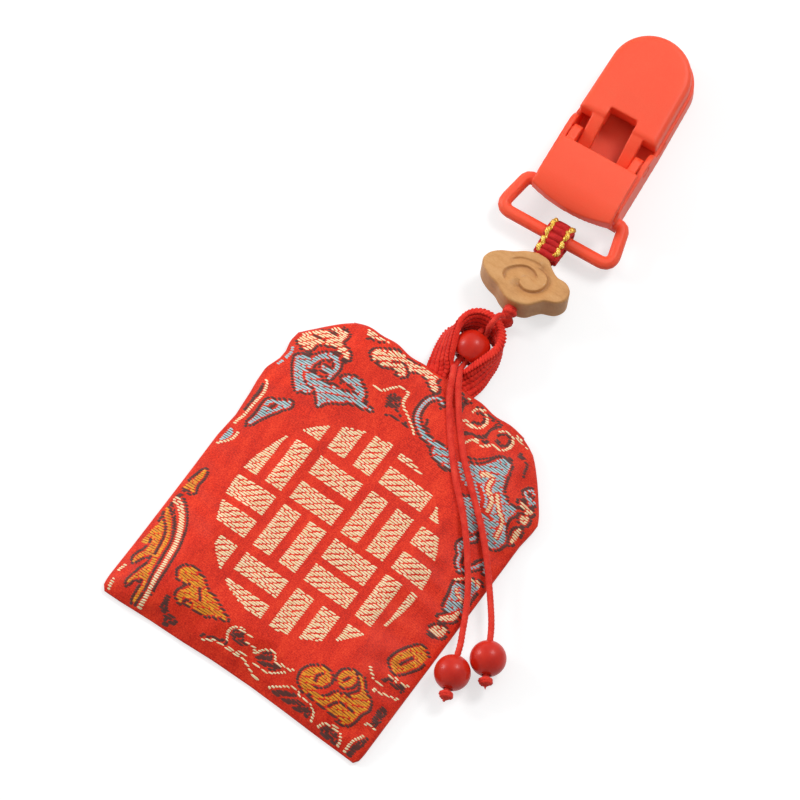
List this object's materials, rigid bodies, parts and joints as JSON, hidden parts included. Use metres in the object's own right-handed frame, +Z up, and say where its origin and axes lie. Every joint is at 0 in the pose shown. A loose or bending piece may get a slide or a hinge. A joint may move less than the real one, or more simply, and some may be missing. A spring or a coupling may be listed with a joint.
{
  "type": "amulet pouch",
  "caption": "Brocade amulet pouch with braided tape loop, toggle cord with beads, carved cloud bead and knotted tab on a plastic lever clip, lying on its back.",
  "frame": {"origin": "centre of the pouch's flat back face", "axes": "+X across the pouch, +Y along the pouch from its folded bottom towards the clip, +Z up out of the pouch's front, with the part lying on its back"},
  "size_m": [0.0813, 0.171, 0.0108],
  "materials": {
    "brocade": "red satin brocade with cream, orange, blue-grey and brown weft floats",
    "lining": "matt red interlining",
    "slip_paper": "plain folded paper",
    "tape": "matt braided red tape",
    "cord": "matt round braided red cord",
    "bead": "satin red",
    "wood": "carved and lightly polished",
    "gold_thread": "metallic gold thread",
    "clip_plastic": "moulded coral-red plastic"
  },
  "bodies": {
    "pouch": {"front_panel": "brocade", "back_panel": "brocade", "lining_front": "lining", "lining_back": "lining", "loop_tape": "tape", "neck_strand_over": "cord", "neck_strand_under": "cord", "neck_knot_lower": "cord", "tail_cord_left": "cord", "tail_cord_right": "cord", "end_knot_left": "cord", "end_knot_right": "cord"},
    "slip": {"amulet_slip": "slip_paper"},
    "stopper": {"stopper_bead": "bead"},
    "bead_left": {"end_bead_left": "bead"},
    "bead_right": {"end_bead_right": "bead"},
    "neck": {"neck_knot_upper": "cord"},
    "hanger": {"hanger_cord": "cord", "tab_band": "tape", "tab_gold_left": "gold_thread", "tab_gold_right": "gold_thread"},
    "cloud": {"cloud_bead": "wood"},
    "clip": {"clip_base": "clip_plastic"},
    "jaw": {"clip_front_jaw": "clip_plastic"},
    "lever": {"clip_lever": "clip_plastic"}
  },
  "joints": [
    {"name": "slip_slide", "type": "slide", "parent": "pouch", "child": "slip", "axis": [0, 1, 0], "range_m": [0, 0.004]},
    {"name": "stopper_slide", "type": "slide", "parent": "pouch", "child": "stopper", "axis": [0, 1, 0], "range_m": [0, 0.0008]},
    {"name": "bead_left_turn", "type": "hinge", "parent": "pouch", "child": "bead_left", "pos_m": [0.03983, -0.01232, 0.00405], "axis": [0.356, -0.9345, 0], "continuous": true},
    {"name": "bead_right_turn", "type": "hinge", "parent": "pouch", "child": "bead_right", "pos_m": [0.04415, -0.00522, 0.00405], "axis": [0.501, -0.8654, 0], "continuous": true},
    {"name": "neck_swing", "type": "hinge", "parent": "pouch", "child": "neck", "pos_m": [0.0024, 0.06028, 0.00737], "axis": [0, 0, 1], "range_deg": [-20, 20]},
    {"name": "neck_bend", "type": "hinge", "parent": "neck", "child": "hanger", "pos_m": [0.0024, 0.06028, 0.00737], "axis": [1, 0, 0], "range_deg": [-5, 75]},
    {"name": "cloud_turn", "type": "hinge", "parent": "hanger", "child": "cloud", "pos_m": [0.0002, 0.0809, 0.0039], "axis": [-0.1048, 0.9807, -0.1651], "continuous": true},
    {"name": "tab_swing", "type": "hinge", "parent": "hanger", "child": "clip", "pos_m": [0.0002, 0.0809, 0.0039], "axis": [0.9949, 0.1011, 0], "range_deg": [-90, 90]},
    {"name": "lever_hinge", "type": "hinge", "parent": "clip", "child": "lever", "pos_m": [-0.00261, 0.10263, 0.0068], "axis": [-0.9949, -0.1011, 0], "range_deg": [0, 70]},
    {"name": "jaw_hinge", "type": "hinge", "parent": "clip", "child": "jaw", "pos_m": [-0.00183, 0.09497, 0.0042], "axis": [0.9949, 0.1011, 0], "range_deg": [0, 8]}
  ],
  "couplings": [
    {"joint": "jaw_hinge", "follows": "lever_hinge", "ratio": 0.11428}
  ]
}
